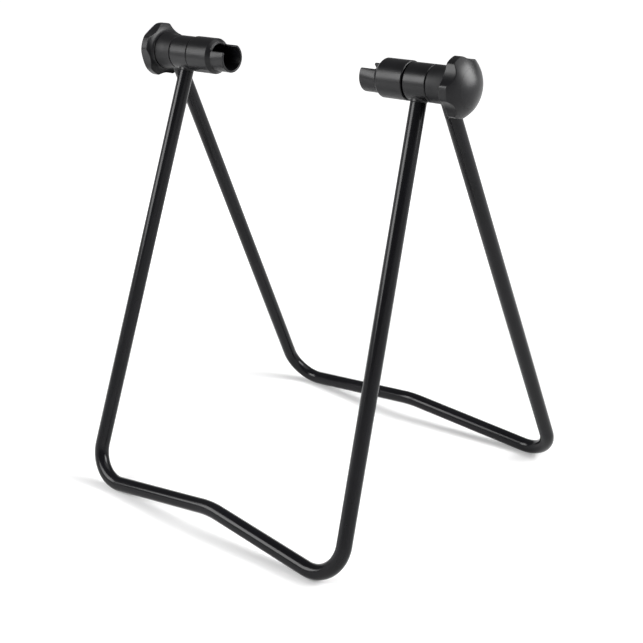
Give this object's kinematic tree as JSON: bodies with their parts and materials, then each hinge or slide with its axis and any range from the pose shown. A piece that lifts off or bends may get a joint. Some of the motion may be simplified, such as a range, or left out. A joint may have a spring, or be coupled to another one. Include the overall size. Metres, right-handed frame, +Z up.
{
  "type": "bicycle paddock stand",
  "caption": "Folding floor stand of bent tube frames, hinged at moulded heads whose screw-fed sockets grip a bicycle's hub ends and hold the wheel off the ground.",
  "frame": {"origin": "on the floor, at the middle of the footprint of the open stand", "axes": "+X along the head axis to the right head, the front frame at -Y, +Z up"},
  "size_m": [0.3404, 0.3096, 0.393],
  "materials": {
    "gloss_black_tube": "gloss black powder coat on steel tube",
    "satin_black_nylon": "satin black moulded nylon",
    "zinc_plated_steel": "bright zinc plate"
  },
  "bodies": {
    "front_frame": {"front_tube": "gloss_black_tube", "front_collar_left": "satin_black_nylon", "front_collar_right": "satin_black_nylon", "front_leg_pins": "zinc_plated_steel", "thrust_washer_left": "zinc_plated_steel", "thrust_washer_right": "zinc_plated_steel"},
    "rear_frame": {"rear_tube": "gloss_black_tube", "rear_collar_left": "satin_black_nylon", "rear_collar_right": "satin_black_nylon", "rear_leg_pins": "zinc_plated_steel"},
    "knob_left": {"knob_left": "satin_black_nylon", "knob_cap_left": "satin_black_nylon", "feed_screw_left": "zinc_plated_steel", "retaining_clip_left": "zinc_plated_steel"},
    "knob_right": {"knob_right": "satin_black_nylon", "knob_cap_right": "satin_black_nylon", "feed_screw_right": "zinc_plated_steel", "retaining_clip_right": "zinc_plated_steel"},
    "socket_left": {"socket_left": "satin_black_nylon", "socket_nut_left": "zinc_plated_steel"},
    "socket_right": {"socket_right": "satin_black_nylon", "socket_nut_right": "zinc_plated_steel"}
  },
  "joints": [
    {"name": "fold", "type": "hinge", "parent": "rear_frame", "child": "front_frame", "pos_m": [0, -0.02744, 0.37], "axis": [1, 0, 0], "range_deg": [0, 44.2]},
    {"name": "knob_left_turn", "type": "hinge", "parent": "front_frame", "child": "knob_left", "pos_m": [-0.1515, -0.02744, 0.37], "axis": [-1, 0, 0], "range_deg": [-140, 2870]},
    {"name": "socket_left_feed", "type": "slide", "parent": "front_frame", "child": "socket_left", "axis": [1, 0, 0], "range_m": [-0.0005, 0.01]},
    {"name": "knob_right_turn", "type": "hinge", "parent": "front_frame", "child": "knob_right", "pos_m": [0.1515, -0.02744, 0.37], "axis": [1, 0, 0], "range_deg": [-140, 2870]},
    {"name": "socket_right_feed", "type": "slide", "parent": "front_frame", "child": "socket_right", "axis": [-1, 0, 0], "range_m": [-0.0005, 0.01]}
  ],
  "couplings": [
    {"joint": "socket_left_feed", "follows": "knob_left_turn", "m_per_rad": 0.00019894},
    {"joint": "socket_right_feed", "follows": "knob_right_turn", "m_per_rad": 0.00019894}
  ]
}
